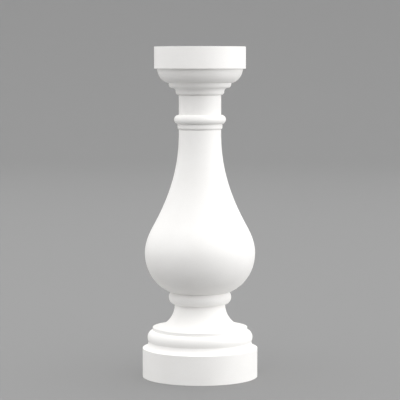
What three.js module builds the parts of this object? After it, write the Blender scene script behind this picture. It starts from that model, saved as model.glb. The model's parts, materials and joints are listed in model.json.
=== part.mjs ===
// A round stone baluster, 400 mm tall, cast in one piece.
// Lengths are in millimetres and +Z is up. The origin is the centre of the underside, so the
// baluster stands on the plane z = 0 with its axis along +Z.
// The body is one outline turned about that axis. The outline is drawn from the ground up,
// moulding by moulding: a radius is measured from the axis, a level from the ground.

import * as THREE from "three";

// Driving dimensions of the whole
const HEIGHT = 400;
const SIDES = 60; // flats round the body; a multiple of 4 keeps its full width along X and Y

// Straight steps along each kind of curve in the outline
const STEPS = {
  bead: 3,
  hollow: 4,
  shoulder: 4,
  ovolo: 5,
  astragal: 6,
  torus: 7,
  scotia: 8,
  bowl: 8,
  ogee: 8,
};

// Plinth: a plain drum, with a hollow that rises from just inside its rim
const PLINTH = { radius: 69.8, top: 35 };
const HOLLOW = { footRadius: 69.4, top: 43.1 };

// Base: a large torus, a fillet, a deep scotia and a small torus
const TORUS = { radius: 63.8, level: 47.8, across: 7.9, up: 8.9 };
const FILLET = { radius: 57.5, top: 60.3 };
const SCOTIA = { footRadius: 56.2 };
const SMALL_TORUS = { radius: 37.9, level: 96.9, across: 7.4, up: 8.4 };

// Bulb: an elliptical bowl up to its widest level, then a shoulder that leans in to the neck
const BULB = { radius: 66.8, level: 150.8, across: 45.6, up: 50.1, foot: 103.2 };
const SHOULDER = { radius: 56.5, level: 183.8, lean: THREE.MathUtils.degToRad(28.6) };
const NECK = { radius: 25.5, level: 295.6 };
const EASE = { overBulb: 9.5, belowShoulder: 16, aboveShoulder: 29.7, belowNeck: 49.9 };

// Ring round the neck: a narrow band with a rounded foot, and a half-round astragal on top of it
const BAND = { radius: 27.1, foot: 300.6, shoulder: 303.4 };
const ASTRAGAL = { level: 312.4, across: 5.7, up: 5.6 };

// Capital: a bead, a small cove, a small ovolo, a large ovolo and a round abacus
const BEAD = { radius: 29.2, foot: 342, top: 345.6 };
const COVE = { radius: 33.7, top: 350.5 };
const SMALL_OVOLO = { footRadius: 34.1, radius: 37.7, level: 355.2 };
const OVOLO = { foot: 356.5, centreRadius: 35.9, level: 376.2, across: 16.1, up: 20.1 };
const ABACUS = { radius: 55.2, foot: 373.6 };

// Angles on an arc: 0 points straight out from the axis, and a quarter turn points up.
const QUARTER = Math.PI / 2;

const TOUCHING = 0.01;
const outline = [];

// Adds one corner, unless the outline is already there.
function corner(radius, level) {
  const point = new THREE.Vector2(radius, level);
  const last = outline.at(-1);
  if (!last || last.distanceTo(point) > TOUCHING) outline.push(point);
}

// Follows a curve in a number of straight steps.
function follow(curve, steps) {
  for (const point of curve.getPoints(steps)) corner(point.x, point.y);
}

// Follows an elliptical arc: outwards and round when the angle grows, a hollow when it shrinks.
function arc(centreRadius, centreLevel, across, up, from, to, steps) {
  const hollow = to < from;
  const ellipse = new THREE.EllipseCurve(
    centreRadius, centreLevel, across, up, from, to, hollow,
  );
  follow(ellipse, steps);
}

// A hollow quarter that leaves its foot level and ends upright.
function drawHollow(footRadius, top, across, up, steps) {
  arc(footRadius, top, across, up, 3 * QUARTER, 2 * QUARTER, steps);
}

// A quarter round that leaves the body level and ends upright.
function drawQuarterRound(innerRadius, top, across, up) {
  arc(innerRadius, top, across, up, -QUARTER, 0, STEPS.bead);
}

function drawPlinth() {
  corner(0, 0);
  corner(PLINTH.radius, 0);
  corner(PLINTH.radius, PLINTH.top);
}

function drawBase() {
  const centre = TORUS.radius - TORUS.across;
  const from = Math.asin((HOLLOW.top - TORUS.level) / TORUS.up);
  const to = Math.acos((FILLET.radius - centre) / TORUS.across);
  const hollowAcross = HOLLOW.footRadius - (centre + TORUS.across * Math.cos(from));
  const hollowUp = HOLLOW.top - PLINTH.top;
  drawHollow(HOLLOW.footRadius, HOLLOW.top, hollowAcross, hollowUp, STEPS.hollow);
  arc(centre, TORUS.level, TORUS.across, TORUS.up, from, to, STEPS.torus);
  corner(FILLET.radius, FILLET.top);

  const waist = SMALL_TORUS.radius - SMALL_TORUS.across;
  const foot = SMALL_TORUS.level - SMALL_TORUS.up;
  const scotiaAcross = SCOTIA.footRadius - waist;
  drawHollow(SCOTIA.footRadius, foot, scotiaAcross, foot - FILLET.top, STEPS.scotia);
  const end = Math.asin((BULB.foot - SMALL_TORUS.level) / SMALL_TORUS.up);
  arc(waist, SMALL_TORUS.level, SMALL_TORUS.across, SMALL_TORUS.up, -QUARTER, end, STEPS.torus);
}

function drawBulb() {
  const from = Math.asin((BULB.foot - BULB.level) / BULB.up);
  arc(BULB.radius - BULB.across, BULB.level, BULB.across, BULB.up, from, 0, STEPS.bowl);

  // Two smooth curves meet on the shoulder, and the upper one ends upright on the neck.
  const widest = new THREE.Vector2(BULB.radius, BULB.level);
  const overBulb = new THREE.Vector2(BULB.radius, BULB.level + EASE.overBulb);
  const shoulder = new THREE.Vector2(SHOULDER.radius, SHOULDER.level);
  const lean = new THREE.Vector2(-Math.sin(SHOULDER.lean), Math.cos(SHOULDER.lean));
  const below = shoulder.clone().addScaledVector(lean, -EASE.belowShoulder);
  const above = shoulder.clone().addScaledVector(lean, EASE.aboveShoulder);
  const belowNeck = new THREE.Vector2(NECK.radius, NECK.level - EASE.belowNeck);
  const neck = new THREE.Vector2(NECK.radius, NECK.level);
  follow(new THREE.CubicBezierCurve(widest, overBulb, below, shoulder), STEPS.shoulder);
  follow(new THREE.CubicBezierCurve(shoulder, above, belowNeck, neck), STEPS.ogee);
}

function drawRing() {
  const across = BAND.radius - NECK.radius;
  drawQuarterRound(NECK.radius, BAND.shoulder, across, BAND.shoulder - BAND.foot);
  const from = -Math.acos(across / ASTRAGAL.across);
  arc(NECK.radius, ASTRAGAL.level, ASTRAGAL.across, ASTRAGAL.up, from, QUARTER, STEPS.astragal);
}

function drawCapital() {
  drawQuarterRound(NECK.radius, BEAD.top, BEAD.radius - NECK.radius, BEAD.top - BEAD.foot);
  const coveAcross = COVE.radius - BEAD.radius;
  const coveUp = COVE.top - BEAD.top;
  arc(COVE.radius, BEAD.top, coveAcross, coveUp, 2 * QUARTER, QUARTER, STEPS.bead);
  const { footRadius, radius, level } = SMALL_OVOLO;
  drawQuarterRound(footRadius, level, radius - footRadius, level - COVE.top);
  corner(radius, OVOLO.foot);

  const from = Math.asin((OVOLO.foot - OVOLO.level) / OVOLO.up);
  const to = Math.asin((ABACUS.foot - OVOLO.level) / OVOLO.up);
  arc(OVOLO.centreRadius, OVOLO.level, OVOLO.across, OVOLO.up, from, to, STEPS.ovolo);
  corner(ABACUS.radius, ABACUS.foot);
  corner(ABACUS.radius, HEIGHT);
  corner(0, HEIGHT);
}

drawPlinth();
drawBase();
drawBulb();
drawRing();
drawCapital();

// The outline turns about the upright axis: a lathe's own axis is Y, so the body is tipped to Z.
const body = new THREE.LatheGeometry(outline, SIDES);
body.rotateX(QUARTER);

const whiteStone = new THREE.MeshStandardMaterial({
  color: new THREE.Color(0.9, 0.893, 0.88),
  roughness: 0.9,
  metalness: 0,
});

const baluster = new THREE.Mesh(body, whiteStone);
baluster.name = "baluster";

const part = new THREE.Group();
part.add(baluster);

export default part;
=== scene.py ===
# %% [markdown]
# # A round stone baluster
# A baluster is one of the short posts that stand in a row and carry a handrail. This one is
# cast in white stone as a single body, so every moulding on it belongs to one piece, and the
# whole form is one outline turned about an upright axis.
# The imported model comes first. It is a fixed frame in metres, +Z up, with the origin under
# the middle of the foot, and everything made below has to stay inside its box.

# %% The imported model
import json
import math

import bmesh
import bpy
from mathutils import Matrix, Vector

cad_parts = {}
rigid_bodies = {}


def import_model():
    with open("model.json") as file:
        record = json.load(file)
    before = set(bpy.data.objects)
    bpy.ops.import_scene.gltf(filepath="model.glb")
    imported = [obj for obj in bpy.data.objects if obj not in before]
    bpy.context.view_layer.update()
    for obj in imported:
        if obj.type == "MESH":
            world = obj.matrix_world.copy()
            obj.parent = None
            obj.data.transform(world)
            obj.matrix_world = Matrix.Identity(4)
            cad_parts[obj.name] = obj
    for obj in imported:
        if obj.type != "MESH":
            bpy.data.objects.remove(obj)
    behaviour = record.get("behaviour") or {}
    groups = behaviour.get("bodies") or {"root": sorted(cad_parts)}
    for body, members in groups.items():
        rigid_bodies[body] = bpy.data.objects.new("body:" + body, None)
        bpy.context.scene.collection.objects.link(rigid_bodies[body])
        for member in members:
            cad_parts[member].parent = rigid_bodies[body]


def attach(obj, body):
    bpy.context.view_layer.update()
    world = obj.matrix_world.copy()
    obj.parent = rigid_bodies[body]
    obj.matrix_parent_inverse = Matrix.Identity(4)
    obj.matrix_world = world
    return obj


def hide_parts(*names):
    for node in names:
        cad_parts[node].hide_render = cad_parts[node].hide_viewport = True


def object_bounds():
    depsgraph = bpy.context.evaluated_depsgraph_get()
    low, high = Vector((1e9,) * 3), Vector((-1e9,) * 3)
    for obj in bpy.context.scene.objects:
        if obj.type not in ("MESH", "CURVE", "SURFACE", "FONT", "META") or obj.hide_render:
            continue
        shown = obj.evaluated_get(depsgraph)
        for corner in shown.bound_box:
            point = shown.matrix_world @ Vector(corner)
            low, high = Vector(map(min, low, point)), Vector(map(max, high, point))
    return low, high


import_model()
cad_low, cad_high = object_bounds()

MM = 0.001
height = cad_high.z
width = cad_high.x - cad_low.x
print(f"the baluster stands {height / MM:.1f} mm tall and {width / MM:.1f} mm wide")

# %% [markdown]
# ## Where the camera stands
# The picture was taken with a long lens from a little below the top of the baluster: the
# abacus shows its edge and no top, and the foot shows as an ellipse. The flatness of the foot's
# ellipse against its width gives the height of the eye and its distance.
# A camera tipped down by a few degrees keeps the whole post in view with no lens shift, so
# the same camera can also walk round the object.

# %% The camera
EYE_HEIGHT = 0.3791
EYE_DISTANCE = 2.1489
TIP_DOWN = math.radians(4.369)
PICTURE_SIDE = 400
FOCAL_PIXELS = 1780
SENSOR_WIDTH = 36
FARTHEST_SEEN = 50

camera_data = bpy.data.cameras.new("studio_camera")
camera_data.sensor_width = SENSOR_WIDTH
camera_data.lens = FOCAL_PIXELS / PICTURE_SIDE * SENSOR_WIDTH
camera_data.clip_end = FARTHEST_SEEN
camera = bpy.data.objects.new("studio_camera", camera_data)
camera.location = (0, -EYE_DISTANCE, EYE_HEIGHT)
camera.rotation_euler = (math.pi / 2 - TIP_DOWN, 0, 0)
bpy.context.scene.collection.objects.link(camera)
bpy.context.scene.camera = camera
print(f"lens {camera_data.lens:.1f} mm, {EYE_DISTANCE} m from the axis")

# %% [markdown]
# ## Turning an outline
# A turned form is made the way a potter or a plasterer runs a template round a post: half of
# the profile is drawn once, and the spin operator sweeps it round the axis. First come the two
# ways of drawing that an outline of mouldings needs, a corner and an elliptical arc. Classical
# mouldings are all stretches of such arcs: an arc that bulges is an ovolo, a torus or a bead,
# and an arc that goes the other way round is a hollow, such as a cove or a scotia.

# %% Corners and arcs
QUARTER = math.pi / 2
TOUCHING = 0.01 * MM
ARC_STEP = 1 * MM
FEWEST_STEPS = 6
outline = []


def corner(radius, level):
    """Adds one point of the outline, in metres, unless the outline is already there."""
    point = Vector((radius, 0, level))
    if not outline or (point - outline[-1]).length > TOUCHING:
        outline.append(point)


def arc(centre_radius, centre_level, across, up, start, end, step=ARC_STEP):
    """Adds an elliptical arc. Angle 0 points straight out from the axis, a quarter turn up."""
    length = abs(end - start) * (across + up) / 2
    count = max(FEWEST_STEPS, round(length / step))
    for i in range(count + 1):
        angle = start + (end - start) * i / count
        corner(centre_radius + across * math.cos(angle), centre_level + up * math.sin(angle))


print(f"an arc takes steps of about {ARC_STEP / MM:.0f} mm, and at least {FEWEST_STEPS} of them")

# %% [markdown]
# ## Foot and base
# From the ground up: a plain drum for a plinth, a hollow, a large torus, a narrow fillet, a deep
# scotia and a small torus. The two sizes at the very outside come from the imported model.
# A torus that rises out of a hollow starts where both have the same radius, and it ends where it
# meets the fillet, so those two angles are worked out instead of being typed in.

# %% The outline of the foot and the base
plinth_radius = cad_high.x
PLINTH_TOP = 35 * MM
HOLLOW = {"foot_radius": 69.4 * MM, "top": 43.1 * MM}
TORUS = {"radius": 63.8 * MM, "level": 47.8 * MM, "across": 7.9 * MM, "up": 8.9 * MM}
FILLET = {"radius": 57.5 * MM, "top": 60.3 * MM}
SCOTIA_FOOT_RADIUS = 56.2 * MM
SMALL_TORUS = {"radius": 37.9 * MM, "level": 96.9 * MM, "across": 7.4 * MM, "up": 8.4 * MM}
BULB_FOOT = 103.2 * MM

corner(0, 0)
corner(plinth_radius, 0)
corner(plinth_radius, PLINTH_TOP)

torus_centre = TORUS["radius"] - TORUS["across"]
torus_start = math.asin((HOLLOW["top"] - TORUS["level"]) / TORUS["up"])
torus_end = math.acos((FILLET["radius"] - torus_centre) / TORUS["across"])
torus_foot_radius = torus_centre + TORUS["across"] * math.cos(torus_start)
arc(HOLLOW["foot_radius"], HOLLOW["top"], HOLLOW["foot_radius"] - torus_foot_radius,
    HOLLOW["top"] - PLINTH_TOP, 3 * QUARTER, 2 * QUARTER)
arc(torus_centre, TORUS["level"], TORUS["across"], TORUS["up"], torus_start, torus_end)
corner(FILLET["radius"], FILLET["top"])

waist = SMALL_TORUS["radius"] - SMALL_TORUS["across"]
waist_level = SMALL_TORUS["level"] - SMALL_TORUS["up"]
scotia_across = SCOTIA_FOOT_RADIUS - waist
scotia_up = waist_level - FILLET["top"]
small_torus_end = math.asin((BULB_FOOT - SMALL_TORUS["level"]) / SMALL_TORUS["up"])
arc(SCOTIA_FOOT_RADIUS, waist_level, scotia_across, scotia_up, 3 * QUARTER, 2 * QUARTER)
arc(waist, SMALL_TORUS["level"], SMALL_TORUS["across"], SMALL_TORUS["up"],
    -QUARTER, small_torus_end)
print(f"foot and base: {len(outline)} points up to {outline[-1].z / MM:.1f} mm")

# %% [markdown]
# ## The bulb
# The belly of the baluster is an elliptical bowl up to its widest level. Above it the outline
# turns over and draws in to the neck in one long ogee. A cubic Bezier curve suits that: its two
# inner handles say how long it keeps its first direction and how early it takes up the last one.
# Two such curves meet on the shoulder, where the outline leans in the most.

# %% The outline of the bulb and the neck
BULB = {"radius": 66.8 * MM, "level": 150.8 * MM, "across": 45.6 * MM, "up": 50.1 * MM}
SHOULDER = Vector((56.5 * MM, 0, 183.8 * MM))
LEAN = math.radians(28.6)
NECK_RADIUS = 25.5 * MM
NECK_LEVEL = 295.6 * MM
EASE = {"over_bulb": 9.5 * MM, "below_shoulder": 16 * MM,
        "above_shoulder": 29.7 * MM, "below_neck": 49.9 * MM}
BULB_STEP = 2 * MM


def ogee(start, start_handle, end_handle, end):
    """Adds a cubic Bezier curve from its two ends and the handles beside them."""
    count = round((end - start).length / BULB_STEP)
    for i in range(count + 1):
        t = i / count
        s = 1 - t
        point = (s**3 * start + 3 * s * s * t * start_handle
                 + 3 * s * t * t * end_handle + t**3 * end)
        corner(point.x, point.z)


bowl_start = math.asin((BULB_FOOT - BULB["level"]) / BULB["up"])
bowl_centre = BULB["radius"] - BULB["across"]
arc(bowl_centre, BULB["level"], BULB["across"], BULB["up"], bowl_start, 0, BULB_STEP)

widest = Vector((BULB["radius"], 0, BULB["level"]))
neck = Vector((NECK_RADIUS, 0, NECK_LEVEL))
upright = Vector((0, 0, 1))
inward = Vector((-math.sin(LEAN), 0, math.cos(LEAN)))
ogee(widest, widest + upright * EASE["over_bulb"],
     SHOULDER - inward * EASE["below_shoulder"], SHOULDER)
ogee(SHOULDER, SHOULDER + inward * EASE["above_shoulder"],
     neck - upright * EASE["below_neck"], neck)
print(f"bulb: {BULB['radius'] / MM:.1f} mm from the axis, neck: {NECK_RADIUS / MM:.1f} mm")

# %% [markdown]
# ## Ring and capital
# Round the neck runs a narrow band with a rounded foot, and on it sits an astragal, a half-round
# bead. The capital above goes out in four steps: a quarter-round bead, a small cove, a small
# ovolo and a large one, which carries the plain round abacus.
# Four of the creases here show as finer and darker lines than two surfaces make where they only
# meet. A quirk gives such a line: a groove about half a millimetre wide, sunk into the body right
# under a moulding, where hardly any light gets in. It is drawn in the outline, so that the spin
# takes it all the way round.

# %% A fine groove under a moulding
QUIRK = {"up": 0.55 * MM, "deep": 0.7 * MM}


def quirk():
    """Sinks a groove into the outline, just under its last point."""
    end = outline.pop()
    corner(end.x, end.z - QUIRK["up"])
    corner(end.x - QUIRK["deep"], end.z - QUIRK["up"])
    corner(end.x - QUIRK["deep"], end.z)
    corner(end.x, end.z)


print(f"a quirk is {QUIRK['up'] / MM:.2f} mm wide and {QUIRK['deep'] / MM:.2f} mm deep")

# %% The outline of the ring and the capital
BAND = {"radius": 27.1 * MM, "foot": 300.6 * MM, "shoulder": 303.4 * MM}
ASTRAGAL = {"level": 312.4 * MM, "across": 5.7 * MM, "up": 5.6 * MM}
BEAD = {"radius": 29.2 * MM, "foot": 342 * MM, "top": 345.6 * MM}
COVE = {"radius": 33.7 * MM, "top": 350.5 * MM}
SMALL_OVOLO = {"foot_radius": 34.1 * MM, "radius": 37.7 * MM, "level": 355.2 * MM}
OVOLO = {"foot": 356.5 * MM, "centre": 35.9 * MM, "level": 376.2 * MM,
         "across": 16.1 * MM, "up": 20.1 * MM}
ABACUS = {"radius": 55.2 * MM, "foot": 373.6 * MM}
FINE_STEP = 0.7 * MM

corner(NECK_RADIUS, BAND["foot"])
quirk()
arc(NECK_RADIUS, BAND["shoulder"], BAND["radius"] - NECK_RADIUS,
    BAND["shoulder"] - BAND["foot"], -QUARTER, 0, FINE_STEP)
astragal_start = -math.acos((BAND["radius"] - NECK_RADIUS) / ASTRAGAL["across"])
corner(BAND["radius"], ASTRAGAL["level"] + ASTRAGAL["up"] * math.sin(astragal_start))
quirk()
arc(NECK_RADIUS, ASTRAGAL["level"], ASTRAGAL["across"], ASTRAGAL["up"],
    astragal_start, QUARTER, FINE_STEP)

corner(NECK_RADIUS, BEAD["foot"])
quirk()
arc(NECK_RADIUS, BEAD["top"], BEAD["radius"] - NECK_RADIUS, BEAD["top"] - BEAD["foot"],
    -QUARTER, 0, FINE_STEP)
arc(COVE["radius"], BEAD["top"], COVE["radius"] - BEAD["radius"], COVE["top"] - BEAD["top"],
    2 * QUARTER, QUARTER, FINE_STEP)
arc(SMALL_OVOLO["foot_radius"], SMALL_OVOLO["level"],
    SMALL_OVOLO["radius"] - SMALL_OVOLO["foot_radius"], SMALL_OVOLO["level"] - COVE["top"],
    -QUARTER, 0, FINE_STEP)
corner(SMALL_OVOLO["radius"], OVOLO["foot"])
ovolo_start = math.asin((OVOLO["foot"] - OVOLO["level"]) / OVOLO["up"])
ovolo_end = math.asin((ABACUS["foot"] - OVOLO["level"]) / OVOLO["up"])
arc(OVOLO["centre"], OVOLO["level"], OVOLO["across"], OVOLO["up"], ovolo_start, ovolo_end)
quirk()
corner(ABACUS["radius"], ABACUS["foot"])
corner(ABACUS["radius"], height)
corner(0, height)
print(f"the whole outline has {len(outline)} points")

# %% [markdown]
# ## Sweeping the outline round
# The outline becomes a chain of edges in a bmesh, and spin turns it a full circle. The two ends
# lie on the axis, where all the copies of one vertex fall together, so they are merged into one,
# and the normals are made to point outwards.

# %% The turned body
STEPS_ROUND = 256
FULL_TURN = 2 * math.pi
SAME_POINT = TOUCHING / 10

body = bmesh.new()
chain = [body.verts.new(point) for point in outline]
for below, above in zip(chain, chain[1:]):
    body.edges.new((below, above))
bmesh.ops.spin(body, geom=body.verts[:] + body.edges[:], cent=(0, 0, 0), axis=(0, 0, 1),
               angle=FULL_TURN, steps=STEPS_ROUND, use_merge=True)
bmesh.ops.remove_doubles(body, verts=body.verts, dist=SAME_POINT)
bmesh.ops.recalc_face_normals(body, faces=body.faces)
print(f"turned body: {len(body.faces)} faces, closed {all(e.is_manifold for e in body.edges)}")

# %% [markdown]
# ## Arrises
# No cast edge is a knife edge: the mould and the rubbing down leave each outer corner a little
# round, and that thin round catches a line of light. Bevel does this along the sharp rings that
# stick out. The inner creases between mouldings stay crisp, as they are in a clean cast, so their
# edges are marked sharp. A weighted normal modifier then keeps the wide faces evenly shaded right
# up to the thin rounds beside them.

# %% Soft arrises on the sharp rings
ARRIS = 0.15 * MM
ARRIS_STEPS = 3
SHARP = math.radians(40)

arrises = [e for e in body.edges if e.calc_face_angle_signed() > SHARP]
levels = sorted({round(e.verts[0].co.z / MM, 1) for e in arrises})
bmesh.ops.bevel(body, geom=arrises, offset=ARRIS, offset_type="OFFSET", affect="EDGES",
                segments=ARRIS_STEPS, profile=0.5, material=-1, clamp_overlap=True)
print("arrises at", levels, "mm")

# %% The body as an object
CREASE = math.radians(20)

for face in body.faces:
    face.smooth = True
for edge in body.edges:
    edge.smooth = edge.calc_face_angle_signed() > -CREASE
mesh = bpy.data.meshes.new("baluster_stone")
body.to_mesh(mesh)
body.free()
baluster = bpy.data.objects.new("baluster_stone", mesh)
bpy.context.scene.collection.objects.link(baluster)
even = baluster.modifiers.new("even_shading", "WEIGHTED_NORMAL")
even.keep_sharp = True
print(f"{baluster.name}: {sum(len(p.vertices) - 2 for p in mesh.polygons)} triangles")

# %% [markdown]
# ## White cast stone
# The finish is matt and almost pure white with a slight warmth. Close to, cast stone is not
# flat: it has a sandy grain finer than a millimetre, a few pores, and broad, very faint clouds
# where the mix was a little richer. All three are procedural textures on Object coordinates, so
# their sizes are real sizes. Between them they drive the colour, the roughness and the bump.
# Three small helpers come first: one for a noise, one that stretches a part of its values, and
# one that mixes two colours by it.

# %% Nodes for a stone finish
SPECULAR_LEVEL = 0.25

stone = bpy.data.materials.new("white_cast_stone")
stone.use_nodes = True
nodes = stone.node_tree.nodes
links = stone.node_tree.links
shader = nodes["Principled BSDF"]
shader.inputs["Specular IOR Level"].default_value = SPECULAR_LEVEL
place = nodes.new("ShaderNodeTexCoord")


def noise(per_metre, detail, roughness=0.5):
    """A noise texture with about so many features in a metre. Detail adds finer layers."""
    node = nodes.new("ShaderNodeTexNoise")
    node.inputs["Scale"].default_value = per_metre
    node.inputs["Detail"].default_value = detail
    node.inputs["Roughness"].default_value = roughness
    links.new(place.outputs["Object"], node.inputs["Vector"])
    return node.outputs["Fac"]


def spread(source, taken, given=(0, 1)):
    """Maps a stretch of values, from low to high, on to another, and holds the ends."""
    node = nodes.new("ShaderNodeMapRange")
    for name, value in zip(("From Min", "From Max", "To Min", "To Max"), (*taken, *given)):
        node.inputs[name].default_value = value
    links.new(source, node.inputs["Value"])
    return node.outputs["Result"]


# A Mix node has sockets for each kind of value. These are the places of those for colours.
AMOUNT_SOCKET = 0
FIRST_SOCKET = 6
SECOND_SOCKET = 7
MIXED_SOCKET = 2


def blend_colour(amount, first, second):
    """Mixes two colours, or a socket and a colour, by an amount from 0 to 1."""
    node = nodes.new("ShaderNodeMix")
    node.data_type = "RGBA"
    links.new(amount, node.inputs[AMOUNT_SOCKET])
    for index, colour in ((FIRST_SOCKET, first), (SECOND_SOCKET, second)):
        if isinstance(colour, tuple):
            node.inputs[index].default_value = (*colour, 1)
        else:
            links.new(colour, node.inputs[index])
    return node.outputs[MIXED_SOCKET]


print("helpers for noise, ranges and colour mixes are ready")

# %% [markdown]
# ### Colour and roughness
# The clouds mix two whites that hardly differ. The grain comes on top: where its noise is high, a
# sand-coloured speck shows through, and the same noise makes the surface a little rougher or
# smoother from grain to grain.

# %% The colours of the stone
CLEAN_STONE = (0.928, 0.918, 0.903)
CLOUDED_STONE = (0.908, 0.896, 0.879)
SAND_STONE = (0.848, 0.835, 0.817)
CLOUDS = {"per_metre": 28, "detail": 3}
GRAIN = {"per_metre": 1500, "detail": 3, "roughness": 0.6}
CLOUDED_FROM_TO = (0.35, 0.7)
SANDY_FROM_TO = (0.5, 0.72)
SAND_AMOUNT = (0, 0.6)
GRAIN_FROM_TO = (0.3, 0.7)
MATT = (0.82, 0.94)

clouds = spread(noise(**CLOUDS), CLOUDED_FROM_TO)
grain = noise(**GRAIN)
sand = spread(grain, SANDY_FROM_TO, SAND_AMOUNT)
colour = blend_colour(sand, blend_colour(clouds, CLEAN_STONE, CLOUDED_STONE), SAND_STONE)
links.new(colour, shader.inputs["Base Color"])
links.new(spread(grain, GRAIN_FROM_TO, MATT), shader.inputs["Roughness"])
for kind, texture in (("clouds", CLOUDS), ("grain", GRAIN)):
    print(f"{kind} of about {1 / texture['per_metre'] / MM:.1f} mm")

# %% [markdown]
# ### Grain and pores that can be felt
# A bump node turns the same grain into a tiny relief, less than a tenth of a millimetre deep.
# The pores are the dark centres of a few Voronoi cells: a second, coarser noise chooses which of
# them open, so that they come in loose groups and most of the surface has none.

# %% Bump for grain and pores
GRAIN_DEPTH = 0.05 * MM
GRAIN_STRENGTH = 0.75
PORE_DEPTH = 0.25 * MM
PORE_STRENGTH = 0.5
PORE_CELLS_PER_METRE = 260
PORE_RIM_FROM_TO = (0.05, 0.16)
OPEN_TO_CLOSED = (1, 0)
PORE_GROUPS = {"per_metre": 60, "detail": 2}
CHOSEN_FROM_TO = (0.56, 0.66)

cells = nodes.new("ShaderNodeTexVoronoi")
cells.inputs["Scale"].default_value = PORE_CELLS_PER_METRE
links.new(place.outputs["Object"], cells.inputs["Vector"])
hole = spread(cells.outputs["Distance"], PORE_RIM_FROM_TO, OPEN_TO_CLOSED)
chosen = spread(noise(**PORE_GROUPS), CHOSEN_FROM_TO)
pores = nodes.new("ShaderNodeMath")
pores.operation = "MULTIPLY"
links.new(hole, pores.inputs[0])
links.new(chosen, pores.inputs[1])


def relief(source, depth, strength, under=None):
    """A bump node, which may lie on top of another."""
    node = nodes.new("ShaderNodeBump")
    node.inputs["Strength"].default_value = strength
    node.inputs["Distance"].default_value = depth
    links.new(source, node.inputs["Height"])
    if under:
        links.new(under, node.inputs["Normal"])
    return node


sandy = relief(grain, GRAIN_DEPTH, GRAIN_STRENGTH)
pitted = relief(pores.outputs["Value"], PORE_DEPTH, PORE_STRENGTH, sandy.outputs["Normal"])
pitted.invert = True
links.new(pitted.outputs["Normal"], shader.inputs["Normal"])
baluster.data.materials.append(stone)
print("relief: grain", GRAIN_DEPTH / MM, "mm, pores", PORE_DEPTH / MM, "mm")

# %% [markdown]
# ## The studio
# The baluster stands on a plain pale floor. The floor turns up into a wall all the way round,
# like a shallow bowl, so that no horizon shows behind the post from any side. It is a turned form
# as well: a short outline with a quarter round, spun about the same axis.

# %% The floor
FLOOR_RADIUS = 4.5
SWEEP_RADIUS = 2.5
WALL_TOP = 4.5
SWEEP_STEPS = 16
FLOOR_STEPS_ROUND = 96
FLOOR_SAME_POINT = 0.1 * MM
FLOOR_GREY = (0.3, 0.3, 0.3, 1)
FLOOR_ROUGHNESS = 0.9

sweep = bmesh.new()
centre_point = sweep.verts.new((0, 0, 0))
edge_point = sweep.verts.new((FLOOR_RADIUS, 0, 0))
sweep.edges.new((centre_point, edge_point))
turned_up = bmesh.ops.spin(sweep, geom=[edge_point], cent=(FLOOR_RADIUS, 0, SWEEP_RADIUS),
                           axis=(0, 1, 0), angle=-QUARTER, steps=SWEEP_STEPS)
rim = [v for v in turned_up["geom_last"] if isinstance(v, bmesh.types.BMVert)]
wall = bmesh.ops.extrude_vert_indiv(sweep, verts=rim)
bmesh.ops.translate(sweep, verts=wall["verts"], vec=(0, 0, WALL_TOP - SWEEP_RADIUS))
bmesh.ops.spin(sweep, geom=sweep.verts[:] + sweep.edges[:], cent=(0, 0, 0), axis=(0, 0, 1),
               angle=FULL_TURN, steps=FLOOR_STEPS_ROUND, use_merge=True)
bmesh.ops.remove_doubles(sweep, verts=sweep.verts, dist=FLOOR_SAME_POINT)
bmesh.ops.recalc_face_normals(sweep, faces=sweep.faces)
for face in sweep.faces:
    face.smooth = True
floor_mesh = bpy.data.meshes.new("studio_floor")
sweep.to_mesh(floor_mesh)
sweep.free()
floor = bpy.data.objects.new("studio_floor", floor_mesh)
bpy.context.scene.collection.objects.link(floor)

paper = bpy.data.materials.new("floor_paper")
paper.use_nodes = True
paper_shader = paper.node_tree.nodes["Principled BSDF"]
paper_shader.inputs["Base Color"].default_value = FLOOR_GREY
paper_shader.inputs["Roughness"].default_value = FLOOR_ROUGHNESS
floor_mesh.materials.append(paper)
print(f"floor: {len(floor_mesh.polygons)} faces")

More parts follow.
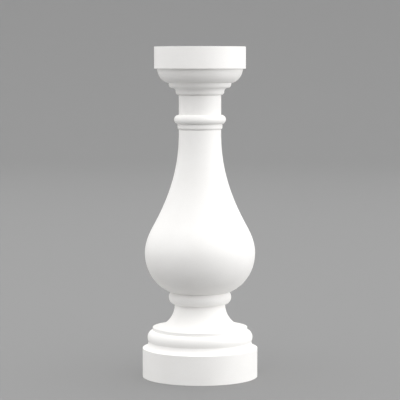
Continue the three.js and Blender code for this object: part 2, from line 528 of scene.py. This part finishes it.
# %% [markdown]
# ## Soft light
# White stone needs broad light, or its shadows turn hard and its lit side burns out. Most of the
# light is an even white sky, as in a studio tent. Two low panels on the right give the form its
# lit side, a third on the left keeps the far edge from going dull, and a high panel over the
# camera lights the ledges. What reaches the undersides has come back up from the floor and the
# ledges below them, so they are the darkest places, and no hard shadow falls anywhere.
# The low panels reach down past the floor, which would show a hard edge where they cut it. Light
# linking stops that: their light falls on the baluster alone, and the floor has only the sky.

# %% The panels
AIM = Vector((0, 0, height / 2))

lit_by_panels = bpy.data.collections.new("lit_by_panels")
lit_by_panels.objects.link(baluster)


def panel(name, azimuth, elevation, distance, size, watts):
    """A square area light that faces the baluster's middle. Azimuth 0 is at the camera."""
    turn = math.radians(azimuth)
    rise = math.radians(elevation)
    across = distance * math.cos(rise)
    offset = Vector((across * math.sin(turn), -across * math.cos(turn),
                     distance * math.sin(rise)))
    data = bpy.data.lights.new(name, "AREA")
    data.size = size
    data.energy = watts
    light = bpy.data.objects.new(name, data)
    light.location = AIM + offset
    light.rotation_euler = (-offset).to_track_quat("-Z", "Y").to_euler()
    light.light_linking.receiver_collection = lit_by_panels
    bpy.context.scene.collection.objects.link(light)


panel("right_panel", azimuth=95, elevation=10, distance=2.8, size=1.6, watts=25.6)
panel("front_right_panel", azimuth=60, elevation=5, distance=2.8, size=1.6, watts=31.1)
panel("left_panel", azimuth=-90, elevation=5, distance=2.8, size=1.6, watts=26.0)
panel("high_front_panel", azimuth=0, elevation=45, distance=3, size=2, watts=18.8)
print("panels:", ", ".join(light.name for light in bpy.data.lights))

# %% The sky
SKY_WHITE = (1, 1, 1, 1)
SKY_STRENGTH = 1.557

world = bpy.data.worlds.new("studio_air")
world.use_nodes = True
sky = world.node_tree.nodes["Background"]
sky.inputs["Color"].default_value = SKY_WHITE
sky.inputs["Strength"].default_value = SKY_STRENGTH
bpy.context.scene.world = world
bpy.context.scene.view_settings.view_transform = "Standard"
print("an even sky of strength", SKY_STRENGTH)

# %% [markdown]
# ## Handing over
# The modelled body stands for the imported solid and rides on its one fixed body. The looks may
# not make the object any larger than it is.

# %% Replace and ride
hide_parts("baluster")
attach(baluster, "root")
